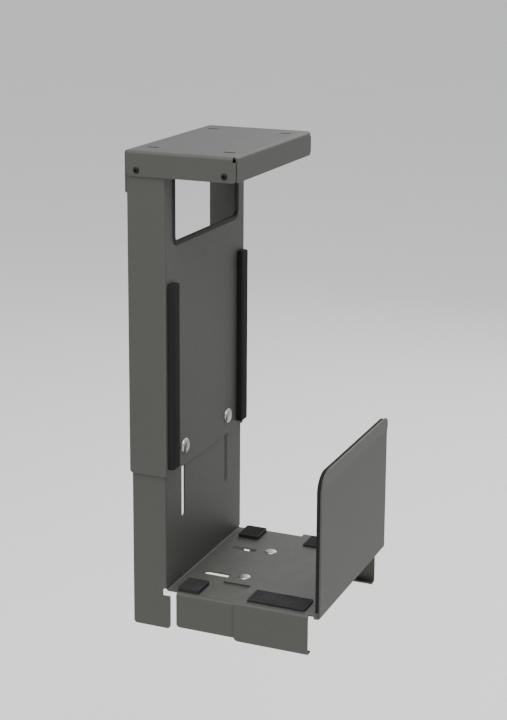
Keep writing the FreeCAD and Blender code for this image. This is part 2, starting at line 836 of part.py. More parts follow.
# Corners of a rounded head's profile, as shares of its radius and of its height
BUTTON_HEAD = ((1, 0.4), (0.86, 0.75), (0.62, 1))
CUP_HEAD = ((0.93, 0.45), (0.72, 0.8), (0.4, 0.97))
LOW_HEAD = ((1, 0.5), (0.88, 1))


def crown(radius, height, shares):
    """Points of a rounded head's profile, from its rim to its top."""
    return [(radius * wide, height * high) for wide, high in shares]


def make_screw(name):
    """Low button-head screw: head above its own origin, shank below."""
    shank = screw_dia / 2
    head = screw_head_dia / 2
    body = turned(name, (0, -screw_long), (shank, -screw_long), (shank, 0), (head, 0),
                  *crown(head, screw_head_high, BUTTON_HEAD), (0, screw_head_high))
    cut(body, "key", "Z", screw_head_high - screw_key_deep, screw_head_high + THROUGH,
        hexagon(screw_key))
    return body


def make_nut(name):
    body = new_body(name)
    slab(body, "hexagon", "Z", 0, nut_high, hexagon(nut_flats))
    cut(body, "thread", "Z", -THROUGH, nut_high + THROUGH,
        circle((0, 0), screw_dia / 2 + thread_play))
    return body


def make_bracket_fasteners():
    screws = []
    nuts = []
    for end, side in FRONT_AND_BACK:
        for place, across in (("left", screw_left_x), ("right", screw_right_x)):
            outward = (0, side, 0)
            screw = make_screw(f"{end}_{place}_screw")
            screws.append(stand(screw, (across, half_deep * side, -screw_drop), outward))
            nut = make_nut(f"{end}_{place}_nut")
            nuts.append(stand(nut, (across, frame_inner * side, -screw_drop), (0, -side, 0)))
    return group("bracket_screws", screws), group("bracket_nuts", nuts)


# ---------------------------------------------------------------------------------------------
# Clamps: studs, washers and star knobs
# ---------------------------------------------------------------------------------------------

washer_start = clamp_gap                                   # from the clamped sheet's face
knob_start = washer_start + washer_thick + clamp_gap
stud_reach = knob_start + insert_long - stud_end_gap       # clamped face to the end of the stud


def make_height_bolt(name):
    """Cup-head bolt with a square neck; its origin is on the frame's web, under the head."""
    shank = stud_dia / 2
    head = bolt_head_dia / 2
    length = sheet_thick * 2 + slide_gap + stud_reach
    body = turned(name, (0, -length), (shank, -length), (shank, 0), (head, 0),
                  *crown(head, bolt_head_high, CUP_HEAD), (0, bolt_head_high))
    slab(body, "neck", "Z", -sheet_thick, 0, rectangle(-shank, shank, -shank, shank))
    return body


def make_width_stud(name):
    """Low-head stud pressed into the tongue; its origin is on the tongue, under the head."""
    shank = stud_dia / 2
    head = stud_head_dia / 2
    length = sheet_thick * 2 + slide_gap + stud_reach
    return turned(name, (0, -length), (shank, -length), (shank, 0), (head, 0),
                  *crown(head, stud_head_high, LOW_HEAD), (0, stud_head_high))


def make_washer(name):
    inner = stud_dia / 2 + washer_play
    outer = washer_dia / 2
    return turned(name, (inner, 0), (outer, 0), (outer, washer_thick), (inner, washer_thick))


KNOB_LOBES = 5


def make_knob(name):
    """Lobed star knob; it clamps with the face at its own origin."""
    rim = knob_dia / 2
    hub = knob_hub_dia / 2
    body = turned(name, (0, 0), (hub, 0), (hub, knob_high - knob_rim), (rim - knob_edge,
                  knob_high - knob_rim), (rim, knob_high - knob_rim + knob_edge),
                  (rim, knob_high - knob_edge), (rim - knob_edge, knob_high), (0, knob_high))
    hollow = cut(body, "finger_hollow", "Z", knob_high - knob_rim, knob_high + THROUGH,
                 circle((knob_scallop_out, 0), knob_scallop))
    pattern = body.newObject("PartDesign::PolarPattern", f"{name}_finger_hollows")
    pattern.Originals = [hollow]
    pattern.Axis = (hollow.Profile[0], ["N_Axis"])
    pattern.Angle = 360
    pattern.Occurrences = KNOB_LOBES
    settle(body, pattern)
    cut(body, "insert_bore", "Z", -THROUGH, insert_long, circle((0, 0), insert_dia / 2 + insert_press))
    return body


def make_insert(name):
    inner = stud_dia / 2 + thread_play
    outer = insert_dia / 2
    return turned(name, (inner, 0), (outer, 0), (outer, insert_long), (inner, insert_long))


def make_height_clamps():
    """Bolts through the frame's web and the carrier's slots, with their knobs on the left."""
    bolts = []
    washers = []
    turning = []
    left = (-1, 0, 0)
    for end, side in FRONT_AND_BACK:
        across = height_stud_y * side
        bolt = make_height_bolt(f"{end}_height_bolt")
        bolts.append(stand(bolt, (web_right, across, height_stud_z), (1, 0, 0)))
        washer = make_washer(f"{end}_height_washer")
        washers.append(stand(washer, (carrier_web_left - washer_start, across, height_stud_z), left))
        seat = (carrier_web_left - knob_start, across, height_stud_z)
        turning.append(stand(make_knob(f"{end}_height_knob"), seat, left))
        turning.append(stand(make_insert(f"{end}_height_insert"), seat, left))
    return [group("height_bolts", bolts), group("height_washers", washers)] + turning


def make_width_clamps():
    """Studs in the tongue, through the base's slots, with their knobs underneath."""
    studs = []
    washers = []
    turning = []
    down = (0, 0, -1)
    for end, side in FRONT_AND_BACK:
        across = width_stud_y * side
        stud = make_width_stud(f"{end}_width_stud")
        studs.append(stand(stud, (width_stud_x, across, side_top)))
        washer = make_washer(f"{end}_width_washer")
        washers.append(stand(washer, (width_stud_x, across, base_under - washer_start), down))
        seat = (width_stud_x, across, base_under - knob_start)
        turning.append(stand(make_knob(f"{end}_width_knob"), seat, down))
        turning.append(stand(make_insert(f"{end}_width_insert"), seat, down))
    return [group("width_studs", studs), group("width_washers", washers)] + turning


# ---------------------------------------------------------------------------------------------
# Build, check and write
# ---------------------------------------------------------------------------------------------

hanging_frame = make_hanging_frame()
nodes = [make_desk_bracket(), hanging_frame, make_window_trim(hanging_frame), make_carrier(),
         make_side_bracket(), make_side_pad()]
nodes += make_frame_pads()
nodes += make_base_pads()
nodes += make_bracket_fasteners()
nodes += make_height_clamps()
nodes += make_width_clamps()
doc.recompute()

faults = [item.Name for item in doc.Objects if {"Invalid", "Error"} & set(item.State)]
faults += [node.Label for node in nodes if node.Shape.isNull() or not node.Shape.isValid()]
if faults:
    raise RuntimeError(f"failed pieces: {faults}")

os.makedirs("parts", exist_ok=True)
for node in nodes:
    node.Shape.exportStep(f"parts/{node.Label}.step")
    box = node.Shape.BoundBox
    print(f"{node.Label}: {len(node.Shape.Solids)} solids, {node.Shape.Volume:.0f} mm3, "
          f"x {box.XMin:.1f} {box.XMax:.1f}, y {box.YMin:.1f} {box.YMax:.1f}, "
          f"z {box.ZMin:.1f} {box.ZMax:.1f}")
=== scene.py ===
import math

import bmesh
import bpy
from mathutils import Matrix, Vector, noise


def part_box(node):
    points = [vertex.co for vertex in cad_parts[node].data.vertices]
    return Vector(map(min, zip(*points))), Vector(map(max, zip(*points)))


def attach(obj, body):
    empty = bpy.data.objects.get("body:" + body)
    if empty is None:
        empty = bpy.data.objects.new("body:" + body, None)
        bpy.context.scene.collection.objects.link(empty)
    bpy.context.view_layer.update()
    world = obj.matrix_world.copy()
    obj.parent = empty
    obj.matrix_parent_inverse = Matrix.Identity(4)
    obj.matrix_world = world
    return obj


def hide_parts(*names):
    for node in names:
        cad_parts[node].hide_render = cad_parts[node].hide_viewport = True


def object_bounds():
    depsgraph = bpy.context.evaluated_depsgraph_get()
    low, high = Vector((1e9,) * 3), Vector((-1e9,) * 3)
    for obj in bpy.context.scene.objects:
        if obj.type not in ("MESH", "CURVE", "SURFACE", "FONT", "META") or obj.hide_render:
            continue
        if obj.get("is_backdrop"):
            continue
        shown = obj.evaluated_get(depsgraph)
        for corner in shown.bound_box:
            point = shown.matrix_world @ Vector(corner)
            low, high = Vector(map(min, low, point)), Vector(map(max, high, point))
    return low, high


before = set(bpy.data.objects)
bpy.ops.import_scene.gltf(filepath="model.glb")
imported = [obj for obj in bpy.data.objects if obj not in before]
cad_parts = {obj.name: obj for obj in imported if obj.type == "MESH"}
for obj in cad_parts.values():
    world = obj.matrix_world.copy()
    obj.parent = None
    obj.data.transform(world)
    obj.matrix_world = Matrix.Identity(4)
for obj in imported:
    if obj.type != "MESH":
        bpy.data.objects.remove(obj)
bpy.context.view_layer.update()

MM = 0.001
UP = Vector((0, 0, 1))

SEAM_WELD = 0.002 * MM   # closes the seams of a finished mesh
SOLID_WELD = 0.005 * MM  # joins the loose triangles of each solid of a node
SHEET_WELD = 0.01 * MM   # joins a folded sheet, or two parts of a small piece


# ------------------------------------------------------------------ shader node groups

def shader_group(name, inputs, outputs):
    """Start a shared effect: a node group with plain number inputs and named outputs."""
    group = bpy.data.node_groups.new(name, "ShaderNodeTree")
    for label, value in inputs.items():
        socket = group.interface.new_socket(label, in_out="INPUT", socket_type="NodeSocketFloat")
        socket.default_value = value
    for label, kind in outputs.items():
        group.interface.new_socket(label, in_out="OUTPUT", socket_type=kind)
    return group, Nodes(group)


class Nodes:
    """Adds nodes to a shader or geometry tree and joins them up."""

    def __init__(self, tree):
        self.tree = tree

    def add(self, kind, inputs=None, **settings):
        """Add a node. Inputs are plain values or sockets to link, and settings are its properties."""
        node = self.tree.nodes.new(kind)
        for name, value in settings.items():
            setattr(node, name, value)
        for name, value in (inputs or {}).items():
            socket = node.inputs[name]
            if isinstance(value, bpy.types.NodeSocket):
                self.tree.links.new(value, socket)
            else:
                socket.default_value = value
        return node

    def maths(self, operation, first, second=0.0):
        return self.add("ShaderNodeMath", {0: first, 1: second}, operation=operation).outputs[0]

    def times(self, first, second):
        return self.maths("MULTIPLY", first, second)

    def half(self, value):
        return self.times(value, 0.5)

    def negative(self, value):
        return self.times(value, -1.0)

    def spread(self, value, low, high, out_low=0.0, out_high=1.0):
        """Stretch the values between low and high over another range, and hold them inside it."""
        ranges = {"Value": value, "From Min": low, "From Max": high, "To Min": out_low, "To Max": out_high}
        return self.add("ShaderNodeMapRange", ranges).outputs["Result"]

    def place(self):
        """The point on the piece, in metres."""
        return self.add("ShaderNodeTexCoord").outputs["Object"]

    def clouds(self, place, scale, detail, roughness):
        """Soft noise between nought and one."""
        return self.add("ShaderNodeTexNoise", {"Vector": place, "Scale": scale, "Detail": detail,
                                               "Roughness": roughness}).outputs["Fac"]


def grain_group():
    """Pebbled skin of a baked powder coat: soft orange peel with a fine grain on it."""
    group, nodes = shader_group("coat_grain", {"Peel scale": 420.0, "Grain scale": 2100.0},
                                {"Height": "NodeSocketFloat", "Speckle": "NodeSocketFloat"})
    inputs = nodes.add("NodeGroupInput").outputs
    place = nodes.place()
    peel = nodes.clouds(place, inputs["Peel scale"], detail=2.0, roughness=0.45)
    grain = nodes.add("ShaderNodeTexVoronoi", {"Vector": place, "Scale": inputs["Grain scale"]},
                      feature="SMOOTH_F1").outputs["Distance"]
    grain_share = 0.55
    height = nodes.maths("ADD", peel, nodes.times(grain, grain_share))
    speckle = nodes.spread(grain, 0.1, 0.8)
    nodes.add("NodeGroupOutput", {"Height": height, "Speckle": speckle})
    return group


def edge_group():
    """How near a point is to a sharp edge, broken up so that wear comes in patches."""
    group, nodes = shader_group("edge_wear", {"Width": 0.0008, "Patchiness": 90.0},
                                {"Mask": "NodeSocketFloat"})
    inputs = nodes.add("NodeGroupInput").outputs
    bevel = nodes.add("ShaderNodeBevel", {"Radius": inputs["Width"]}, samples=6)
    flat = nodes.add("ShaderNodeNewGeometry").outputs["Normal"]
    same = nodes.add("ShaderNodeVectorMath", {0: bevel.outputs["Normal"], 1: flat},
                     operation="DOT_PRODUCT").outputs["Value"]
    nearly_flat, well_round = 0.985, 0.86
    edge = nodes.spread(same, nearly_flat, well_round)
    patches = nodes.clouds(nodes.place(), inputs["Patchiness"], detail=4.0, roughness=0.6)
    broken = nodes.spread(patches, 0.42, 0.62)
    nodes.add("NodeGroupOutput", {"Mask": nodes.times(edge, broken)})
    return group


def drift_group():
    """Slow unevenness of tone over a surface, as a factor near one."""
    group, nodes = shader_group("tone_drift", {"Scale": 9.0, "Amount": 0.1},
                                {"Factor": "NodeSocketFloat"})
    inputs = nodes.add("NodeGroupInput").outputs
    cloud = nodes.clouds(nodes.place(), inputs["Scale"], detail=3.0, roughness=0.55)
    centred = nodes.maths("SUBTRACT", cloud, 0.5)
    swing = nodes.times(centred, nodes.times(inputs["Amount"], 2.0))
    nodes.add("NodeGroupOutput", {"Factor": nodes.maths("ADD", swing, 1.0)})
    return group


def scuff_group():
    """Thin rub marks that run up and down, in a few places only."""
    group, nodes = shader_group("rub_marks", {"Scale": 260.0, "Rarity": 0.68},
                                {"Mask": "NodeSocketFloat"})
    inputs = nodes.add("NodeGroupInput").outputs
    place = nodes.place()
    upright_stretch = (1.0, 1.0, 0.05)
    stretched = nodes.add("ShaderNodeMapping", {"Vector": place, "Scale": upright_stretch}).outputs[0]
    lines = nodes.clouds(stretched, inputs["Scale"], detail=2.0, roughness=0.5)
    areas = nodes.clouds(place, 14.0, detail=1.0, roughness=0.5)
    mask = nodes.times(nodes.spread(lines, inputs["Rarity"], 0.78), nodes.spread(areas, 0.5, 0.65))
    nodes.add("NodeGroupOutput", {"Mask": mask})
    return group


def dust_group():
    """Light dust that settles on faces that look up."""
    group, nodes = shader_group("settled_dust", {"Amount": 0.3}, {"Mask": "NodeSocketFloat"})
    inputs = nodes.add("NodeGroupInput").outputs
    normal = nodes.add("ShaderNodeNewGeometry").outputs["Normal"]
    upward = nodes.add("ShaderNodeSeparateXYZ", {"Vector": normal}).outputs["Z"]
    flecks = nodes.clouds(nodes.place(), 60.0, detail=6.0, roughness=0.7)
    settled = nodes.times(nodes.spread(upward, 0.6, 1.0), nodes.spread(flecks, 0.4, 0.75))
    nodes.add("NodeGroupOutput", {"Mask": nodes.times(settled, inputs["Amount"])})
    return group


GRAIN = grain_group()
EDGES = edge_group()
DRIFT = drift_group()
SCUFFS = scuff_group()
DUST = dust_group()


# ------------------------------------------------------------------ materials

class Finish:
    """A material under construction: its nodes, and its Principled shader."""

    def __init__(self, name, **plain):
        self.material = bpy.data.materials.new(name)
        self.material.use_nodes = True
        tree = self.material.node_tree
        self.nodes = Nodes(tree)
        self.shader = tree.nodes["Principled BSDF"]
        for socket, value in plain.items():
            self.shader.inputs[socket.replace("_", " ")].default_value = value

    def effect(self, group, **values):
        """Place a shared effect, with this material's own values."""
        node = self.nodes.add("ShaderNodeGroup", node_tree=group)
        for label, value in values.items():
            node.inputs[label.replace("_", " ")].default_value = value
        return node.outputs

    def blend(self, factor, first, second, mode="MIX"):
        node = self.nodes.add("ShaderNodeMix", data_type="RGBA", blend_type=mode)
        factor_in, first_in, second_in = node.inputs[0], node.inputs[6], node.inputs[7]
        for socket, value in ((factor_in, factor), (first_in, first), (second_in, second)):
            if isinstance(value, bpy.types.NodeSocket):
                self.nodes.tree.links.new(value, socket)
            else:
                socket.default_value = value
        return node.outputs[2]

    def laid_on(self, base, mask, share, colour):
        """The base with up to a share of another colour on it, where the mask is."""
        return self.blend(self.nodes.times(mask, share), base, colour)

    def toned(self, colour, factor):
        """The colour, darker or lighter by a factor near one."""
        grey = self.nodes.add("ShaderNodeCombineXYZ", {"X": factor, "Y": factor, "Z": factor}).outputs[0]
        return self.blend(1.0, colour, grey, "MULTIPLY")

    def set(self, socket, value):
        self.nodes.tree.links.new(value, self.shader.inputs[socket])

    def roughen(self, value, low, high, smooth, rough):
        """Roughness from smooth to rough as the value goes from low to high."""
        self.set("Roughness", self.nodes.spread(value, low, high, smooth, rough))

    def bump(self, height, strength, distance):
        node = self.nodes.add("ShaderNodeBump", {"Height": height, "Strength": strength,
                                                 "Distance": distance})
        self.set("Normal", node.outputs["Normal"])


def rgb(red, green, blue):
    """A colour from its sRGB bytes, as linear values."""
    def linear(byte):
        share = byte / 255
        return share / 12.92 if share <= 0.04045 else ((share + 0.055) / 1.055) ** 2.4
    return (linear(red), linear(green), linear(blue), 1.0)


def graphite_coat():
    """Dark grey powder coat with a fine pebbled skin, a little rubbed at its edges."""
    graphite, pale_grain = rgb(53, 53, 49), rgb(82, 82, 78)
    rubbed, scuffed, dusty = rgb(112, 112, 107), rgb(98, 98, 94), rgb(140, 136, 128)
    coat = Finish("graphite_powder_coat", Specular_IOR_Level=0.38)
    grain = coat.effect(GRAIN)
    drift = coat.effect(DRIFT, Scale=7.0, Amount=0.045)
    edge = coat.effect(EDGES, Width=0.0007)
    scuff = coat.effect(SCUFFS)
    dust = coat.effect(DUST, Amount=0.05)
    base = coat.toned(graphite, drift["Factor"])
    base = coat.laid_on(base, grain["Speckle"], 0.22, pale_grain)
    base = coat.laid_on(base, edge["Mask"], 0.3, rubbed)
    base = coat.laid_on(base, scuff["Mask"], 0.18, scuffed)
    coat.set("Base Color", coat.blend(dust["Mask"], base, dusty))
    rough = coat.nodes.spread(grain["Height"], 0.3, 1.2, 0.5, 0.62)
    edge_polish = coat.nodes.times(edge["Mask"], 0.12)
    coat.set("Roughness", coat.nodes.maths("SUBTRACT", rough, edge_polish))
    coat.bump(grain["Height"], 0.7, 0.12 * MM)
    return coat.material


def zinc_plate():
    """Bright zinc with fine turning marks."""
    plated, rubbed = rgb(168, 170, 168), rgb(222, 222, 218)
    zinc = Finish("zinc_plated_steel", Metallic=1.0)
    drift = zinc.effect(DRIFT, Scale=120.0, Amount=0.12)
    edge = zinc.effect(EDGES, Width=0.0004, Patchiness=300.0)
    base = zinc.toned(plated, drift["Factor"])
    zinc.set("Base Color", zinc.laid_on(base, edge["Mask"], 0.4, rubbed))
    turning = zinc.nodes.clouds(zinc.nodes.place(), 900.0, detail=3.0, roughness=0.5)
    zinc.roughen(turning, 0.3, 0.7, 0.32, 0.48)
    zinc.bump(turning, 0.25, 0.04 * MM)
    return zinc.material


def black_oxide():
    """Blackened steel of the bracket's screws, dull, with slightly bare edges."""
    blackened, bare = rgb(9, 9, 9), rgb(48, 48, 46)
    black = Finish("black_oxide_steel", Specular_IOR_Level=0.18)
    drift = black.effect(DRIFT, Scale=200.0, Amount=0.2)
    edge = black.effect(EDGES, Width=0.0003, Patchiness=400.0)
    base = black.toned(blackened, drift["Factor"])
    black.set("Base Color", black.laid_on(base, edge["Mask"], 0.12, bare))
    black.roughen(drift["Factor"], 0.8, 1.2, 0.5, 0.66)
    return black.material


def black_nylon():
    """Moulded knobs: a fine spark-eroded skin, paler where hands rub it."""
    moulded, handled = rgb(30, 30, 31), rgb(70, 70, 70)
    nylon = Finish("black_moulded_nylon", Specular_IOR_Level=0.45)
    grain = nylon.effect(GRAIN, Peel_scale=1300.0, Grain_scale=3600.0)
    edge = nylon.effect(EDGES, Width=0.0009, Patchiness=160.0)
    drift = nylon.effect(DRIFT, Scale=30.0, Amount=0.1)
    base = nylon.toned(moulded, drift["Factor"])
    nylon.set("Base Color", nylon.laid_on(base, edge["Mask"], 0.35, handled))
    nylon.roughen(grain["Height"], 0.3, 1.2, 0.42, 0.58)
    nylon.bump(grain["Height"], 0.4, 0.08 * MM)
    return nylon.material


def brass():
    """Turned brass of the knobs' bushes."""
    turned = rgb(196, 160, 92)
    metal = Finish("turned_brass", Metallic=1.0)
    drift = metal.effect(DRIFT, Scale=260.0, Amount=0.15)
    metal.set("Base Color", metal.toned(turned, drift["Factor"]))
    metal.roughen(drift["Factor"], 0.85, 1.15, 0.22, 0.4)
    return metal.material


def black_rubber():
    """Soft rubber with a matt skin and a little dust on it."""
    moulded, dusty = rgb(27, 27, 27), rgb(120, 118, 112)
    rubber = Finish("black_rubber", Specular_IOR_Level=0.3)
    grain = rubber.effect(GRAIN, Peel_scale=700.0, Grain_scale=2600.0)
    drift = rubber.effect(DRIFT, Scale=45.0, Amount=0.15)
    dust = rubber.effect(DUST, Amount=0.12)
    base = rubber.toned(moulded, drift["Factor"])
    rubber.set("Base Color", rubber.blend(dust["Mask"], base, dusty))
    rubber.roughen(grain["Height"], 0.3, 1.2, 0.66, 0.82)
    rubber.bump(grain["Height"], 0.5, 0.1 * MM)
    return rubber.material


def black_foam():
    """Closed-cell foam: a skin of small burst cells, with painted shade darkening the cells' pits."""
    skin, painted_pit_shade = rgb(24, 24, 24), rgb(8, 8, 8)
    foam = Finish("black_closed_cell_foam", Specular_IOR_Level=0.15)
    place = foam.nodes.place()
    small = foam.nodes.add("ShaderNodeTexVoronoi", {"Vector": place, "Scale": 1150.0}).outputs["Distance"]
    large = foam.nodes.add("ShaderNodeTexVoronoi", {"Vector": place, "Scale": 330.0}).outputs["Distance"]
    drift = foam.effect(DRIFT, Scale=18.0, Amount=0.12)
    cells = foam.nodes.maths("ADD", small, foam.nodes.half(large))
    base = foam.toned(skin, drift["Factor"])
    # painted shade: the hollows of the burst cells are darkened towards near black, as if shaded
    pit_shade_mask = foam.nodes.spread(cells, 0.15, 0.5, 0.55, 0.0)
    foam.set("Base Color", foam.blend(pit_shade_mask, base, painted_pit_shade))
    foam.roughen(cells, 0.1, 0.9, 0.95, 0.8)
    foam.bump(cells, 0.8, 0.25 * MM)
    return foam.material


COAT = graphite_coat()
ZINC = zinc_plate()
OXIDE = black_oxide()
NYLON = black_nylon()
BRASS = brass()
RUBBER = black_rubber()
FOAM = black_foam()


# ------------------------------------------------------------------ mesh helpers

def piece(name, mesh, material, body, slot, *nodes):
    """Make a finished mesh a piece that rides a body and stands for CAD nodes."""
    mesh.name = name
    mesh.materials.clear()
    mesh.materials.append(material)
    made = bpy.data.objects.new(name, mesh)
    bpy.context.scene.collection.objects.link(made)
    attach(made, body)
    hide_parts(*nodes)
    return made


def finished(mesh, angle=32.0):
    """Closed seams, outward faces, and smooth shading that stays crisp past the angle."""
    bm = bmesh.new()
    bm.from_mesh(mesh)
    bmesh.ops.remove_doubles(bm, verts=bm.verts, dist=SEAM_WELD)
    bmesh.ops.recalc_face_normals(bm, faces=bm.faces)
    bm.to_mesh(mesh)
    bm.free()
    mesh.shade_smooth()
    mesh.set_sharp_from_angle(angle=math.radians(angle))
    return mesh


def standing(place, outward):
    """Where a turned part goes: its foot at the place, its own Z pointing outward."""
    outward = Vector(outward)
    turn = Matrix.Rotation(math.pi, 4, "Y")
    if outward.z > -0.99:
        turn = UP.rotation_difference(outward).to_matrix().to_4x4()
    return Matrix.Translation(place) @ turn


def lathed(rings, count=60, closed=False):
    """Loft rings about the Z axis. Each ring is a height and a radius, or a rule from turn to radius.

    When closed, the last ring joins the first, as on a bush. Otherwise both ends are capped.
    """
    bm = bmesh.new()
    rows = []
    for height, radius in rings:
        angles = [math.tau * step / count for step in range(count)]
        reach = [radius(angle) if callable(radius) else radius for angle in angles]
        rows.append([bm.verts.new((far * math.cos(angle), far * math.sin(angle), height))
                     for angle, far in zip(angles, reach)])
    pairs = list(zip(rows, rows[1:]))
    if closed:
        pairs.append((rows[-1], rows[0]))
    for low, high in pairs:
        for step in range(count):
            after = (step + 1) % count
            bm.faces.new((low[step], low[after], high[after], high[step]))
    if not closed:
        bm.faces.new(list(reversed(rows[0])))
        bm.faces.new(rows[-1])
    mesh = bpy.data.meshes.new("lathed")
    bm.to_mesh(mesh)
    bm.free()
    return mesh


def solids(node):
    """Lowest and highest corner of each separate solid of a CAD node, front ones first."""
    bm = bmesh.new()
    bm.from_mesh(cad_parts[node].data)
    bmesh.ops.remove_doubles(bm, verts=bm.verts, dist=SOLID_WELD)
    waiting = set(bm.verts)
    boxes = []
    while waiting:
        reached = [waiting.pop()]
        for vert in reached:
            near = {edge.other_vert(vert) for edge in vert.link_edges} & waiting
            waiting -= near
            reached.extend(near)
        spots = [vert.co for vert in reached]
        boxes.append((Vector(min(spot[axis] for spot in spots) for axis in range(3)),
                      Vector(max(spot[axis] for spot in spots) for axis in range(3))))
    bm.free()
    return sorted(boxes, key=lambda box: (round(box[0].y, 4), box[0].x))


# ------------------------------------------------------------------ Geometry Nodes helpers

SOCKETS = {float: "NodeSocketFloat", int: "NodeSocketInt", tuple: "NodeSocketVector"}


def recipe(name, **inputs):
    """Start a Geometry Nodes tree with named inputs. Returns its nodes and its input sockets."""
    tree = bpy.data.node_groups.new(name, "GeometryNodeTree")
    tree.interface.new_socket("Places", in_out="INPUT", socket_type="NodeSocketGeometry")
    tree.interface.new_socket("Material", in_out="INPUT", socket_type="NodeSocketMaterial")
    for label, value in inputs.items():
        kind = SOCKETS[type(value)]
        socket = tree.interface.new_socket(label, in_out="INPUT", socket_type=kind)
        socket.default_value = value
    tree.interface.new_socket("Geometry", in_out="OUTPUT", socket_type="NodeSocketGeometry")
    nodes = Nodes(tree)
    return nodes, nodes.add("NodeGroupInput").outputs


def conclude(nodes, inputs, shape, spin=0.0):
    """End a tree: put the shape on every place, turned outward, as real faces with a material."""
    outward = nodes.add("GeometryNodeInputNamedAttribute", {"Name": "outward"},
                        data_type="FLOAT_VECTOR").outputs["Attribute"]
    aimed = nodes.add("FunctionNodeAlignRotationToVector", {"Vector": outward}, axis="Z").outputs[0]
    least, most = 2, 3
    angle = nodes.add("FunctionNodeRandomValue", {least: 0.0, most: spin, "Seed": 7},
                      data_type="FLOAT").outputs[1]
    roll = nodes.add("ShaderNodeCombineXYZ", {"Z": angle}).outputs[0]
    turned = nodes.add("FunctionNodeRotateRotation", {0: aimed}, rotation_space="LOCAL")
    euler = nodes.add("FunctionNodeEulerToRotation", {0: roll}).outputs[0]
    nodes.tree.links.new(euler, turned.inputs[1])
    placed = nodes.add("GeometryNodeInstanceOnPoints", {"Points": inputs["Places"], "Instance": shape,
                                                        "Rotation": turned.outputs[0]}).outputs[0]
    real = nodes.add("GeometryNodeRealizeInstances", {"Geometry": placed}).outputs[0]
    coated = nodes.add("GeometryNodeSetMaterial", {"Geometry": real,
                                                   "Material": inputs["Material"]}).outputs[0]
    nodes.add("NodeGroupOutput", {0: coated})
    return nodes.tree


def grown(tree, places, material, **values):
    """Run a tree on places, each a point and the way it faces, and return the mesh it makes."""
    points = bpy.data.meshes.new("places")
    points.from_pydata([point for point, _ in places], [], [])
    facing = points.attributes.new("outward", "FLOAT_VECTOR", "POINT")
    for number, (_, outward) in enumerate(places):
        facing.data[number].vector = outward
    holder = bpy.data.objects.new("places", points)
    bpy.context.scene.collection.objects.link(holder)
    modifier = holder.modifiers.new("grown", "NODES")
    modifier.node_group = tree
    values["Material"] = material
    for item in tree.interface.items_tree:
        if item.in_out == "INPUT" and item.name in values:
            modifier[item.identifier] = values[item.name]
    seen = holder.evaluated_get(bpy.context.evaluated_depsgraph_get())
    mesh = bpy.data.meshes.new_from_object(seen)
    holder.modifiers.remove(modifier)
    bpy.data.objects.remove(holder)
    return mesh


def moved(nodes, geometry, shift, scale=(1.0, 1.0, 1.0)):
    change = {"Geometry": geometry, "Translation": shift, "Scale": scale}
    return nodes.add("GeometryNodeTransform", change).outputs[0]


def vector(nodes, **parts):
    return nodes.add("ShaderNodeCombineXYZ", parts).outputs[0]


def rod(nodes, diameter, length, sides):
    """A capped bar that stands on the origin."""
    size = {"Vertices": sides, "Radius": nodes.half(diameter), "Depth": length}
    made = nodes.add("GeometryNodeMeshCylinder", size).outputs["Mesh"]
    return moved(nodes, made, vector(nodes, Z=nodes.half(length)))


def rectangle(nodes, wide, high):
    return nodes.add("GeometryNodeCurvePrimitiveQuadrilateral", {"Width": wide, "Height": high}).outputs[0]


def round_corners(nodes, outline, radius, steps):
    return nodes.add("GeometryNodeFilletCurve", {"Curve": outline, "Count": steps, "Radius": radius},
                     mode="POLY").outputs[0]


def circle(nodes, radius, steps):
    return nodes.add("GeometryNodeCurvePrimitiveCircle", {"Resolution": steps, "Radius": radius},
                     mode="RADIUS").outputs[0]


def swept(nodes, line, section, capped=False):
    """A section carried along a line."""
    run = {"Curve": line, "Profile Curve": section, "Fill Caps": capped}
    return nodes.add("GeometryNodeCurveToMesh", run).outputs[0]


def welded(nodes, *parts):
    """Parts as one shape, with the points where they meet made one."""
    return nodes.add("GeometryNodeMergeByDistance", {"Geometry": together(nodes, *parts),
                                                     "Distance": SHEET_WELD}).outputs[0]


def together(nodes, *parts):
    join = nodes.add("GeometryNodeJoinGeometry")
    for part in parts:
        nodes.tree.links.new(part, join.inputs[0])
    return join.outputs[0]


# ------------------------------------------------------------------ folded sheet metal

def folded_sheet(node, body):
    """A folded sheet with the softly rounded edges that a baked coat leaves."""
    coat_rounding = 0.4 * MM
    corner_angle, flat_angle = math.radians(40), math.radians(0.6)
    bm = bmesh.new()
    bm.from_mesh(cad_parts[node].data)
    bmesh.ops.remove_doubles(bm, verts=bm.verts, dist=SHEET_WELD)
    bmesh.ops.dissolve_limit(bm, angle_limit=flat_angle, verts=bm.verts, edges=bm.edges)
    sharp = [edge for edge in bm.edges
             if len(edge.link_faces) == 2 and edge.calc_face_angle() > corner_angle]
    bmesh.ops.bevel(bm, geom=sharp, offset=coat_rounding, segments=3, profile=0.5, affect="EDGES",
                    clamp_overlap=True)
    low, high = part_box(node)
    for vert in bm.verts:
        vert.co = Vector(min(max(vert.co[axis], low[axis]), high[axis]) for axis in range(3))
    mesh = bpy.data.meshes.new(node)
    bm.to_mesh(mesh)
    bm.free()
    mesh.shade_smooth()
    mesh.set_sharp_from_angle(angle=corner_angle)
    dressed = bpy.data.objects.new(node, mesh)
    bpy.context.scene.collection.objects.link(dressed)
    weighted = dressed.modifiers.new("weighted_normals", "WEIGHTED_NORMAL")
    weighted.keep_sharp = True
    weighted.weight = 100
    view = bpy.context.evaluated_depsgraph_get()
    smooth = bpy.data.meshes.new_from_object(dressed.evaluated_get(view))
    bpy.data.objects.remove(dressed)
    return piece(f"{node}_sheet", smooth, COAT, body, "graphite_coat", node)


# ------------------------------------------------------------------ window edging

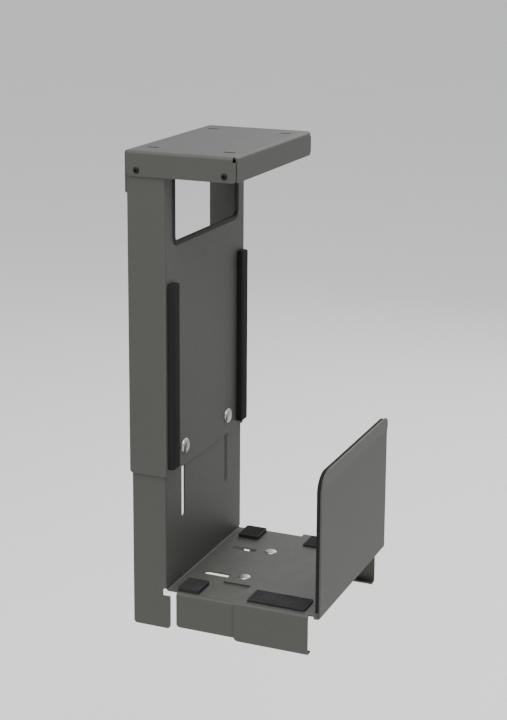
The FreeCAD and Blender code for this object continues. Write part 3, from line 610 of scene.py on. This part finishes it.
def edging_recipe():
    """Soft edging: a rounded strip swept round a rectangle with round corners."""
    nodes, inputs = recipe("window_edging", Across=0.17, High=0.09, Corner=0.009, Wide=0.0055,
                           Thick=0.005, Round=0.0016)
    line = round_corners(nodes, rectangle(nodes, inputs["High"], inputs["Across"]), inputs["Corner"], 14)
    section = round_corners(nodes, rectangle(nodes, inputs["Wide"], inputs["Thick"]), inputs["Round"], 6)
    return conclude(nodes, inputs, swept(nodes, line, section))


def window_edging():
    """Black edging on the rim of the frame's window."""
    low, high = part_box("window_trim")
    size = high - low
    wide, outer_corner = 5.5 * MM, 12.0 * MM
    places = [((low + high) / 2, (1.0, 0.0, 0.0))]
    mesh = grown(edging_recipe(), places, RUBBER, Across=size.y - wide, High=size.z - wide,
                 Corner=outer_corner - wide / 2, Wide=wide, Thick=size.x, Round=1.7 * MM)
    piece("window_edging", finished(mesh, 50.0), RUBBER, "frame", "black_rubber", "window_trim")


# ------------------------------------------------------------------ screws, bolts, nuts and washers

def domed(nodes, diameter, height):
    """A domed disc that stands on the origin: a grid bent round into half a flattened ball."""
    rows, around = 9, 49
    grid = nodes.add("GeometryNodeMeshGrid", {"Size X": 1.0, "Size Y": 1.0, "Vertices X": rows,
                                              "Vertices Y": around}).outputs["Mesh"]
    spot = nodes.add("ShaderNodeSeparateXYZ", {0: nodes.add("GeometryNodeInputPosition").outputs[0]}).outputs
    lean = nodes.times(nodes.maths("ADD", spot["X"], 0.5), math.pi / 2)
    angle = nodes.times(spot["Y"], math.tau)
    radius = nodes.times(nodes.maths("SINE", lean), nodes.half(diameter))
    bent = vector(nodes, X=nodes.times(radius, nodes.maths("COSINE", angle)),
                  Y=nodes.times(radius, nodes.maths("SINE", angle)),
                  Z=nodes.times(nodes.maths("COSINE", lean), height))
    dome = nodes.add("GeometryNodeSetPosition", {"Geometry": grid, "Position": bent}).outputs[0]
    disc = nodes.add("GeometryNodeMeshCircle", {"Vertices": around - 1, "Radius": nodes.half(diameter)},
                     fill_type="NGON").outputs[0]
    return welded(nodes, dome, disc)


def across_corners(nodes, flats):
    """A hexagon's width over its corners, from its width over its flats."""
    return nodes.times(flats, 2 / math.sqrt(3))


def bored(nodes, shape, tool):
    """The shape with the tool cut out of it."""
    cut = nodes.add("GeometryNodeMeshBoolean", operation="DIFFERENCE", solver="EXACT")
    nodes.tree.links.new(shape, cut.inputs[0])
    nodes.tree.links.new(tool, cut.inputs[1])
    return cut.outputs[0]


def bolt_recipe(name, keyed):
    """Round-headed bolts, with their heads standing on their places and their shanks behind."""
    nodes, inputs = recipe(name, Head=0.007, Head_high=0.002, Shank=0.004, Long=0.009,
                           Key=0.0025, Key_deep=0.0014)
    head = domed(nodes, inputs["Head"], inputs["Head_high"])
    if keyed:
        key = rod(nodes, across_corners(nodes, inputs["Key"]), inputs["Head_high"], 6)
        floor = nodes.maths("SUBTRACT", inputs["Head_high"], inputs["Key_deep"])
        head = bored(nodes, head, moved(nodes, key, vector(nodes, Z=floor)))
    shank = rod(nodes, inputs["Shank"], inputs["Long"], 24)
    shank = moved(nodes, shank, vector(nodes, Z=nodes.negative(inputs["Long"])))
    return conclude(nodes, inputs, together(nodes, head, shank), spin=math.tau)


def nut_recipe():
    """Hexagon nuts with corners rounded off at both ends and a bore through."""
    nodes, inputs = recipe("hexagon_nuts", Flats=0.007, High=0.0032, Bore=0.0041)
    high = inputs["High"]
    corners = across_corners(nodes, inputs["Flats"])
    prism = rod(nodes, corners, high, 6)
    ball_wide, ball_high = 0.56, 1.15
    wide = nodes.times(corners, ball_wide)
    ball = nodes.add("GeometryNodeMeshUVSphere", {"Segments": 48, "Rings": 24, "Radius": 1.0}).outputs[0]
    ball = moved(nodes, ball, vector(nodes, Z=nodes.half(high)),
                 vector(nodes, X=wide, Y=wide, Z=nodes.times(high, ball_high)))
    rounded = nodes.add("GeometryNodeMeshBoolean", operation="INTERSECT", solver="EXACT")
    nodes.tree.links.new(prism, rounded.inputs[1])
    nodes.tree.links.new(ball, rounded.inputs[1])
    drill = rod(nodes, inputs["Bore"], nodes.times(high, 3.0), 32)
    drill = moved(nodes, drill, vector(nodes, Z=nodes.negative(high)))
    return conclude(nodes, inputs, bored(nodes, rounded.outputs[0], drill), spin=math.tau)


def washer_recipe():
    """Flat washers with a punched, slightly rounded edge."""
    nodes, inputs = recipe("flat_washers", Outer=0.03, Bore=0.0082, Thick=0.002, Round=0.0004)
    outer, bore = inputs["Outer"], inputs["Bore"]
    band = nodes.half(nodes.maths("SUBTRACT", outer, bore))
    middle = nodes.half(nodes.half(nodes.maths("ADD", outer, bore)))
    section = round_corners(nodes, rectangle(nodes, band, inputs["Thick"]), inputs["Round"], 3)
    return conclude(nodes, inputs, swept(nodes, circle(nodes, middle, 64), section), spin=math.tau)


def bracket_fasteners():
    """Button-head screws through the desk bracket's end flanges, with nuts inside the frame."""
    head, head_high = 7.0 * MM, 2.0 * MM
    screws = []
    for low, high in solids("bracket_screws"):
        outward = math.copysign(1.0, low.y + high.y)
        seat = high.y - head_high if outward > 0 else low.y + head_high
        screws.append((((low.x + high.x) / 2, seat, (low.z + high.z) / 2), (0.0, outward, 0.0)))
    low, high = solids("bracket_screws")[0]
    mesh = grown(bolt_recipe("button_head_screws", True), screws, OXIDE, Head=head, Head_high=head_high,
                 Shank=4.0 * MM, Long=high.y - low.y - head_high, Key=2.5 * MM, Key_deep=1.3 * MM)
    piece("button_head_screws", finished(mesh), OXIDE, "frame", "black_screw", "bracket_screws")
    nuts = []
    for low, high in solids("bracket_nuts"):
        inward = -math.copysign(1.0, low.y + high.y)
        seat = low.y if inward > 0 else high.y
        nuts.append((((low.x + high.x) / 2, seat, (low.z + high.z) / 2), (0.0, inward, 0.0)))
    mesh = grown(nut_recipe(), nuts, ZINC, Flats=7.0 * MM, High=high.y - low.y, Bore=4.1 * MM)
    piece("hexagon_nuts", finished(mesh), ZINC, "frame", "zinc_steel", "bracket_nuts")


CLAMP_SHANK = 8.0 * MM


def clamp_bolts(name, node, body, outward, head, head_high):
    """Clamp bolts of one slide, whose shanks go on through both sheets to the knobs."""
    outward = Vector(outward)
    places = []
    for low, high in solids(node):
        centre = (low + high) / 2
        reach = (high - low).dot(outward) / 2
        places.append((centre + outward * (reach - head_high), outward))
    long = (high - low).dot(outward) - head_high
    mesh = grown(bolt_recipe(name, False), places, ZINC, Head=head, Head_high=head_high,
                 Shank=CLAMP_SHANK, Long=long)
    piece(name, finished(mesh), ZINC, body, "zinc_steel", node)


def clamp_washers(name, node, body, outward):
    """Large washers between the knobs and the slotted sheet that they clamp."""
    outward = Vector(outward)
    places = [((low + high) / 2, outward) for low, high in solids(node)]
    low, high = solids(node)[0]
    size = high - low
    mesh = grown(washer_recipe(), places, ZINC, Outer=max(size), Bore=CLAMP_SHANK + 0.2 * MM,
                 Thick=size.dot(outward), Round=0.4 * MM)
    piece(name, finished(mesh), ZINC, body, "zinc_steel", node)


# ------------------------------------------------------------------ star knobs

def knob_rings(high):
    """A knob's outline as rings, from the foot of its hub to its dished top."""
    rim, hub, lobes_high = 20.0 * MM, 10.0 * MM, 11.0 * MM
    hollow, roll = 4.4 * MM, 2.4 * MM
    lobes, narrowness = 5, 1.7
    chamfer, flare = 0.5 * MM, 1.6 * MM
    under = high - lobes_high

    def lobed(inset):
        """Radius at a turn: rounded lobes with narrower finger hollows between them."""
        def radius(angle):
            dip = (0.5 + 0.5 * math.cos(lobes * angle)) ** narrowness
            return rim - hollow * dip - inset
        return radius

    rings = [(0.0, hub - chamfer), (chamfer, hub), (under - flare, hub),
             (under - chamfer, hub + chamfer), (under, hub + flare)]
    steps = 5
    turns = [math.pi / 2 * step / steps for step in range(steps + 1)]
    for turn in turns:
        rings.append((under + roll * (1 - math.cos(turn)), lobed(roll * (1 - math.sin(turn)))))
    for turn in turns:
        rings.append((high - roll * (1 - math.sin(turn)), lobed(roll * (1 - math.cos(turn)))))
    dish = [(0.0, 12.0), (0.2, 11.4), (0.9, 10.9), (1.1, 10.2), (0.9, 4.0), (0.8, 0.6)]
    return rings + [(high - depth * MM, radius * MM) for depth, radius in dish]


def bush_rings(long):
    """A brass bush as rings, round its outside and back through its bore."""
    bore, bush, chamfer = 4.05 * MM, 6.0 * MM, 0.4 * MM
    return [(0.0, bore + chamfer), (0.0, bush - chamfer), (chamfer, bush), (long - chamfer, bush),
            (long, bush - chamfer), (long, bore + chamfer), (long - chamfer, bore), (chamfer, bore)]


def star_knob(node, insert, body, outward):
    """A five-lobed knob with rolled edges, a dished top and a brass bush in its hub."""
    low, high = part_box(node)
    bush_low, bush_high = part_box(insert)
    outward = Vector(outward)
    solid_low, solid_high = solids(insert)[0]
    seat = (solid_low + solid_high) / 2
    axis = max(range(3), key=lambda number: abs(outward[number]))
    seat[axis] = high[axis] if outward[axis] < 0 else low[axis]

    mesh = lathed(knob_rings(abs((high - low).dot(outward))), count=120)
    mesh.transform(standing(seat, outward))
    piece(f"{node}_grip", finished(mesh, 40.0), NYLON, body, "black_plastic", node)

    mesh = lathed(bush_rings(abs((bush_high - bush_low).dot(outward))), count=48, closed=True)
    mesh.transform(standing(seat, outward))
    piece(f"{insert}_bush", finished(mesh, 25.0), BRASS, body, "brass", insert)


# ------------------------------------------------------------------ rubber pads under the computer

def ribbed_recipe():
    """Ribbed rubber pads: a slab with round corners and half-round ribs along it."""
    nodes, inputs = recipe("ribbed_pads", Long=0.028, Wide=0.03, Thick=0.003, Corner=0.002,
                           Rib=0.0014, Pitch=0.0028)
    long, wide, corner, pitch = inputs["Long"], inputs["Wide"], inputs["Corner"], inputs["Pitch"]
    rib_radius = nodes.half(inputs["Rib"])
    slab_high = nodes.maths("SUBTRACT", inputs["Thick"], rib_radius)
    outline = round_corners(nodes, rectangle(nodes, long, wide), corner, 6)
    foot = nodes.add("GeometryNodeFillCurve", {"Curve": outline}, mode="NGONS").outputs[0]
    raised = nodes.add("GeometryNodeExtrudeMesh", {"Mesh": foot, "Offset Scale": slab_high,
                                                   "Individual": False}, mode="FACES").outputs[0]
    flipped = nodes.add("GeometryNodeFlipFaces", {"Mesh": foot}).outputs[0]
    slab = welded(nodes, raised, flipped)

    bare_pitches, corner_share = 1.2, 0.8
    span = nodes.maths("SUBTRACT", wide, nodes.times(pitch, bare_pitches))
    count = nodes.maths("FLOOR", nodes.maths("DIVIDE", span, pitch))
    first = nodes.negative(nodes.half(nodes.times(count, pitch)))
    line = {"Count": nodes.maths("ADD", count, 1.0), "Start Location": vector(nodes, Y=first, Z=slab_high),
            "Offset": vector(nodes, Y=pitch)}
    points = nodes.add("GeometryNodeMeshLine", line).outputs[0]
    reach = nodes.maths("SUBTRACT", nodes.half(long), nodes.times(corner, corner_share))
    ends = {"Start": vector(nodes, X=nodes.negative(reach)), "End": vector(nodes, X=reach)}
    run = nodes.add("GeometryNodeCurvePrimitiveLine", ends).outputs[0]
    rib = swept(nodes, run, circle(nodes, rib_radius, 12), capped=True)
    ribs = nodes.add("GeometryNodeInstanceOnPoints", {"Points": points, "Instance": rib}).outputs[0]
    return conclude(nodes, inputs, together(nodes, slab, ribs))


def ribbed_pads(name, node, body):
    """Two rubber pads that the computer stands on."""
    boxes = solids(node)
    places = [(((low.x + high.x) / 2, (low.y + high.y) / 2, low.z), (0.0, 0.0, 1.0)) for low, high in boxes]
    size = boxes[0][1] - boxes[0][0]
    mesh = grown(ribbed_recipe(), places, RUBBER, Long=size.x, Wide=size.y, Thick=size.z)
    piece(name, finished(mesh, 35.0), RUBBER, body, "black_rubber", node)


# ------------------------------------------------------------------ foam pads against the computer

def foam_border(columns, rows):
    """Once round the sheet's outline, in shares of its half width and half height."""
    border = [(-1 + 2 * column / columns, -1.0) for column in range(columns)]
    border += [(1.0, -1 + 2 * row / rows) for row in range(rows)]
    border += [(1 - 2 * column / columns, 1.0) for column in range(columns)]
    border += [(-1.0, 1 - 2 * row / rows) for row in range(rows)]
    return border


def foam_layers(thick, edge, steps=4):
    """Depth and inset of each ring of points, from the glued back to the rounded face."""
    layers = [(0.0, 0.0)]
    for step in range(steps + 1):
        angle = math.pi / 2 * step / steps
        layers.append((thick - edge * (1 - math.sin(angle)), edge * (1 - math.cos(angle))))
    return layers


def foam_mesh(name, point_at, layers, columns, rows):
    """A sheet whose wall runs through the layers and whose face is a grid, closed at the back."""
    border = foam_border(columns, rows)
    bm = bmesh.new()
    rings = [[bm.verts.new(point_at(across, up, depth, inset)) for across, up in border]
             for depth, inset in layers]
    for below, above in zip(rings, rings[1:]):
        for number in range(len(border)):
            after = (number + 1) % len(border)
            bm.faces.new((below[number], below[after], above[after], above[number]))
    bm.faces.new(list(reversed(rings[0])))
    depth, inset = layers[-1]
    grid = {}
    for (across, up), vert in zip(border, rings[-1]):
        grid[round((across + 1) * columns / 2), round((up + 1) * rows / 2)] = vert
    for column in range(1, columns):
        for row in range(1, rows):
            spot = point_at(-1 + 2 * column / columns, -1 + 2 * row / rows, depth, inset)
            grid[column, row] = bm.verts.new(spot)
    for column in range(columns):
        for row in range(rows):
            bm.faces.new((grid[column, row], grid[column + 1, row],
                          grid[column + 1, row + 1], grid[column, row + 1]))
    mesh = bpy.data.meshes.new(name)
    bm.to_mesh(mesh)
    bm.free()
    return mesh


def foam_sheet(node, body, away, thick, corners, crown, edge, bend=None):
    """A die-cut foam sheet: soft edges, a faintly crowned face, and a flat glued back.

    Away is the way its free face looks, along X. Corners gives the radius of the lower and the
    upper corners. Bend is how far below the top the sheet starts to lean back with its plate.
    """
    low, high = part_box(node)
    size = high - low
    lean = (size.x - thick) / bend if bend else 0.0
    back = low.x if away > 0 else low.x + thick
    half_y, half_z = size.y / 2, size.z / 2
    centre = (low + high) / 2
    crown_power = 6
    ripple_high, ripples = 0.1 * MM, 55.0
    noise.seed_set(11)

    def point_at(across, up, depth, inset):
        """A point of one layer, from shares of the half width and half height."""
        y, z = across * (half_y - inset), up * (half_z - inset)
        corner = corners[0 if up < 0 else 1] - inset
        over_y, over_z = abs(y) - (half_y - inset - corner), abs(z) - (half_z - inset - corner)
        if over_y > 0 and over_z > 0:
            reach = max(over_y, over_z)
            length = math.hypot(over_y, over_z)
            y -= math.copysign(over_y * (1 - reach / length), y)
            z -= math.copysign(over_z * (1 - reach / length), z)
        swell = crown * (1 - abs(across) ** crown_power) * (1 - abs(up) ** crown_power) - crown
        ripple = ripple_high * noise.noise(Vector((y, z, 0)) * ripples)
        lift = swell + ripple - ripple_high if depth > thick / 2 else 0.0
        x = back + away * (depth + lift)
        if bend:
            x += lean * max(0.0, centre.z + z - (high.z - bend))
        return Vector((x, centre.y + y, centre.z + z))

    step, fewest = 3.5 * MM, 8
    columns = max(fewest, round(size.y / step))
    rows = max(fewest, round(size.z / step))
    mesh = foam_mesh(node, point_at, foam_layers(thick, edge), columns, rows)
    made = piece(f"{node}_foam", finished(mesh, 60.0), FOAM, body, "black_foam", node)


# ------------------------------------------------------------------ the whole holder

RIGHT, LEFT = (1.0, 0.0, 0.0), (-1.0, 0.0, 0.0)
ABOVE, BELOW = (0.0, 0.0, 1.0), (0.0, 0.0, -1.0)

folded_sheet("desk_bracket", "frame")
folded_sheet("hanging_frame", "frame")
folded_sheet("sliding_carrier", "carrier")
folded_sheet("side_bracket", "side")

window_edging()
bracket_fasteners()
clamp_bolts("cup_head_bolts", "height_bolts", "frame", RIGHT, head=18.0 * MM, head_high=4.0 * MM)
clamp_bolts("low_head_studs", "width_studs", "side", ABOVE, head=14.0 * MM, head_high=1.5 * MM)
clamp_washers("height_clamp_washers", "height_washers", "frame", RIGHT)
clamp_washers("width_clamp_washers", "width_washers", "side", ABOVE)
for end in ("front", "rear"):
    star_knob(f"{end}_height_knob", f"{end}_height_insert", f"{end}_height_clamp", LEFT)
    star_knob(f"{end}_width_knob", f"{end}_width_insert", f"{end}_width_clamp", BELOW)

ribbed_pads("frame_side_ribbed_pads", "carrier_pads", "carrier")
ribbed_pads("far_side_ribbed_pads", "side_bracket_pads", "side")
foam_sheet("side_pad", "side", away=-1, thick=5.0 * MM, corners=(1.5 * MM, 15.0 * MM),
           crown=0.3 * MM, edge=0.7 * MM, bend=20.0 * MM)
for end in ("front", "rear"):
    foam_sheet(f"{end}_frame_pad", "frame", away=1, thick=7.5 * MM, corners=(2.0 * MM, 2.0 * MM),
               crown=0.7 * MM, edge=1.3 * MM)


# ------------------------------------------------------------------ floor, light and camera

def stage_floor():
    """A wide pale floor, well below the holder."""
    half = 45.0
    level = -0.95
    bm = bmesh.new()
    corners = [(-half, -half), (half, -half), (half, half), (-half, half)]
    bm.faces.new([bm.verts.new((x, y, level)) for x, y in corners])
    mesh = bpy.data.meshes.new("pale_floor")
    bm.to_mesh(mesh)
    bm.free()
    paint = Finish("pale_floor", Roughness=0.75)
    drift = paint.effect(DRIFT, Scale=3.0, Amount=0.02)
    paint.set("Base Color", paint.toned(rgb(226, 224, 220), drift["Factor"]))
    mesh.materials.append(paint.material)
    floor = bpy.data.objects.new("pale_floor", mesh)
    bpy.context.scene.collection.objects.link(floor)
    floor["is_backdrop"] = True


def soft_light(name, place, size, power):
    """A square lamp that looks at the middle of the holder."""
    lamp = bpy.data.lights.new(name, "AREA")
    lamp.size = size
    lamp.energy = power
    made = bpy.data.objects.new(name, lamp)
    made.location = place
    made.rotation_mode = "QUATERNION"
    aim = (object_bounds()[0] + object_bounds()[1]) / 2 - Vector(place)
    made.rotation_quaternion = aim.to_track_quat("-Z", "Y")
    bpy.context.scene.collection.objects.link(made)


def studio():
    """Soft, slightly cool light from all round, and four lamps."""
    cool_white = (0.92, 0.94, 1.0, 1.0)
    world = bpy.data.worlds.new("studio")
    bpy.context.scene.world = world
    world.use_nodes = True
    back = world.node_tree.nodes["Background"]
    back.inputs["Color"].default_value = cool_white
    back.inputs["Strength"].default_value = 0.95
    soft_light("overhead", (0.5, -0.9, 2.2), size=2.2, power=112.0)
    soft_light("front", (-0.7, -1.7, 0.9), size=1.2, power=14.0)
    soft_light("side", (1.4, -1.2, -0.5), size=0.7, power=5.5)
    soft_light("back", (0.2, 2.4, 0.8), size=1.6, power=24.0)


def camera():
    """The viewing point: in front of the holder, to its right and a little above it."""
    place = Vector((0.7181, -1.6274, 0.2571))
    yaw, pitch, roll = math.radians(22.63), math.radians(12.47), math.radians(-0.35)
    lens = bpy.data.cameras.new("camera")
    lens.sensor_width = 36.0
    lens.lens = 80.68
    lens.shift_y = -0.139
    lens.clip_end = 100.0
    made = bpy.data.objects.new("camera", lens)
    made.location = place
    ahead = Vector((-math.sin(yaw) * math.cos(pitch), math.cos(yaw) * math.cos(pitch), -math.sin(pitch)))
    made.rotation_mode = "QUATERNION"
    tilt = Matrix.Rotation(-roll, 3, "Z").to_quaternion()
    made.rotation_quaternion = ahead.to_track_quat("-Z", "Y") @ tilt
    bpy.context.scene.collection.objects.link(made)
    bpy.context.scene.camera = made


stage_floor()
studio()
camera()
